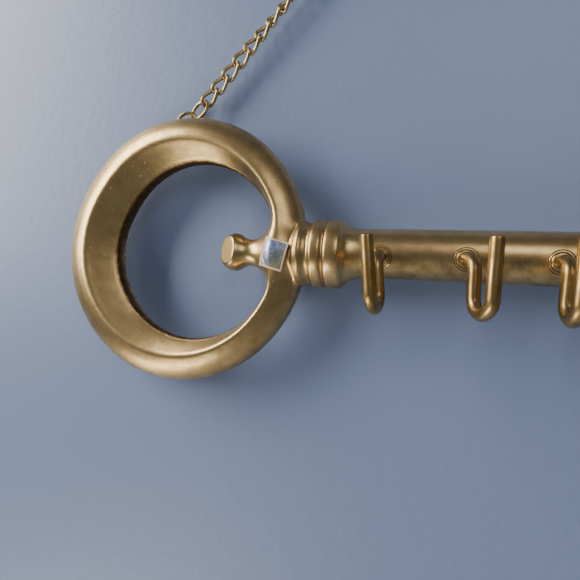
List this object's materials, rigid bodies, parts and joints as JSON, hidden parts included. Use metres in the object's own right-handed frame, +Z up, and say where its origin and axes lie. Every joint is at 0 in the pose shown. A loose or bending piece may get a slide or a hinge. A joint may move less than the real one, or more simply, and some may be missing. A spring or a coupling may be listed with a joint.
{
  "type": "wall-hung key rack",
  "caption": "Cast brass skeleton key with J hooks along its shank, hung from a nail by a curb chain with jump rings.",
  "frame": {"origin": "the nail, at the centre of the chain's middle link", "axes": "+X along the key from the bow to the bit, +Y towards the wall, +Z up"},
  "size_m": [0.2538, 0.034, 0.1795],
  "materials": {
    "cast_brass": "aged satin cast brass with brown patina in the grooves",
    "wire_brass": "smooth drawn brass wire, browned",
    "chain_brass": "lightly tarnished brass chain wire",
    "foil": "blank silver-blue foil sticker with a pale gold border"
  },
  "bodies": {
    "nail_link": {"middle_link": "chain_brass"},
    "key": {"key_casting": "cast_brass", "foil_label": "foil", "hook_1": "wire_brass", "hook_2": "wire_brass", "hook_3": "wire_brass", "hook_4": "wire_brass", "hook_5": "wire_brass"},
    "left_chain_1": {"left_link_01": "chain_brass"},
    "left_chain_2": {"left_link_02": "chain_brass", "left_link_03": "chain_brass", "left_link_04": "chain_brass", "left_link_05": "chain_brass"},
    "left_chain_3": {"left_link_06": "chain_brass", "left_link_07": "chain_brass", "left_link_08": "chain_brass", "left_link_09": "chain_brass"},
    "left_chain_4": {"left_link_10": "chain_brass", "left_link_11": "chain_brass", "left_link_12": "chain_brass", "left_link_13": "chain_brass"},
    "left_chain_5": {"left_link_14": "chain_brass", "left_link_15": "chain_brass", "left_link_16": "chain_brass", "left_link_17": "chain_brass", "left_link_18": "chain_brass"},
    "left_upper_ring_body": {"left_upper_ring": "chain_brass"},
    "left_lower_ring_body": {"left_lower_ring": "chain_brass"},
    "right_chain_1": {"right_link_01": "chain_brass"},
    "right_chain_2": {"right_link_02": "chain_brass", "right_link_03": "chain_brass", "right_link_04": "chain_brass", "right_link_05": "chain_brass", "right_link_06": "chain_brass"},
    "right_chain_3": {"right_link_07": "chain_brass", "right_link_08": "chain_brass", "right_link_09": "chain_brass", "right_link_10": "chain_brass", "right_link_11": "chain_brass"},
    "right_chain_4": {"right_link_12": "chain_brass", "right_link_13": "chain_brass", "right_link_14": "chain_brass", "right_link_15": "chain_brass", "right_link_16": "chain_brass"},
    "right_chain_5": {"right_link_17": "chain_brass", "right_link_18": "chain_brass", "right_link_19": "chain_brass", "right_link_20": "chain_brass", "right_link_21": "chain_brass", "right_link_22": "chain_brass"},
    "right_upper_ring_body": {"right_upper_ring": "chain_brass"},
    "right_lower_ring_body": {"right_lower_ring": "chain_brass"}
  },
  "joints": [
    {"name": "left_nail_swing", "type": "hinge", "parent": "nail_link", "child": "left_chain_1", "pos_m": [0, 0, 0], "axis": [0, 1, 0], "range_deg": [-8, 8]},
    {"name": "left_chain_bend_1", "type": "hinge", "parent": "left_chain_1", "child": "left_chain_2", "pos_m": [-0.00548, 0, -0.00403], "axis": [-1, 0, 0], "range_deg": [0, 12]},
    {"name": "left_chain_bend_2", "type": "hinge", "parent": "left_chain_2", "child": "left_chain_3", "pos_m": [-0.02098, 0, -0.02198], "axis": [-1, 0, 0], "range_deg": [0, 12]},
    {"name": "left_chain_bend_3", "type": "hinge", "parent": "left_chain_3", "child": "left_chain_4", "pos_m": [-0.03647, 0, -0.03993], "axis": [-1, 0, 0], "range_deg": [0, 12]},
    {"name": "left_chain_bend_4", "type": "hinge", "parent": "left_chain_4", "child": "left_chain_5", "pos_m": [-0.05197, 0, -0.05789], "axis": [-1, 0, 0], "range_deg": [0, 8]},
    {"name": "left_upper_ring_turn", "type": "hinge", "parent": "left_chain_5", "child": "left_upper_ring_body", "pos_m": [-0.07052, 0, -0.07938], "axis": [-1, 0, 0], "range_deg": [0, 10]},
    {"name": "left_lower_ring_turn", "type": "hinge", "parent": "left_upper_ring_body", "child": "left_lower_ring_body", "pos_m": [-0.07436, 0, -0.08383], "axis": [-1, 0, 0], "range_deg": [0, 10]},
    {"name": "key_tilt", "type": "hinge", "parent": "left_lower_ring_body", "child": "key", "pos_m": [-0.07904, 0, -0.08925], "axis": [-1, 0, 0], "range_deg": [0, 25]},
    {"name": "right_nail_swing", "type": "hinge", "parent": "nail_link", "child": "right_chain_1", "pos_m": [0, 0, 0], "axis": [0, 1, 0], "range_deg": [-8, 8]},
    {"name": "right_chain_bend_1", "type": "hinge", "parent": "right_chain_1", "child": "right_chain_2", "pos_m": [0.00693, 0, -0.00403], "axis": [-1, 0, 0], "range_deg": [0, 12]},
    {"name": "right_chain_bend_2", "type": "hinge", "parent": "right_chain_2", "child": "right_chain_3", "pos_m": [0.02892, 0, -0.02198], "axis": [-1, 0, 0], "range_deg": [0, 12]},
    {"name": "right_chain_bend_3", "type": "hinge", "parent": "right_chain_3", "child": "right_chain_4", "pos_m": [0.0509, 0, -0.03993], "axis": [-1, 0, 0], "range_deg": [0, 12]},
    {"name": "right_chain_bend_4", "type": "hinge", "parent": "right_chain_4", "child": "right_chain_5", "pos_m": [0.07288, 0, -0.05789], "axis": [-1, 0, 0], "range_deg": [0, 8]},
    {"name": "right_upper_ring_turn", "type": "hinge", "parent": "right_chain_5", "child": "right_upper_ring_body", "pos_m": [0.09921, 0, -0.07938], "axis": [-1, 0, 0], "range_deg": [0, 10]},
    {"name": "right_lower_ring_turn", "type": "hinge", "parent": "right_upper_ring_body", "child": "right_lower_ring_body", "pos_m": [0.10465, 0, -0.08383], "axis": [-1, 0, 0], "range_deg": [0, 10]}
  ],
  "couplings": [
    {"joint": "right_nail_swing", "follows": "left_nail_swing", "ratio": 1},
    {"joint": "right_chain_bend_1", "follows": "left_chain_bend_1", "ratio": 1},
    {"joint": "right_chain_bend_2", "follows": "left_chain_bend_2", "ratio": 1},
    {"joint": "right_chain_bend_3", "follows": "left_chain_bend_3", "ratio": 1},
    {"joint": "right_chain_bend_4", "follows": "left_chain_bend_4", "ratio": 1},
    {"joint": "right_upper_ring_turn", "follows": "left_upper_ring_turn", "ratio": 1},
    {"joint": "right_lower_ring_turn", "follows": "left_lower_ring_turn", "ratio": 1}
  ]
}
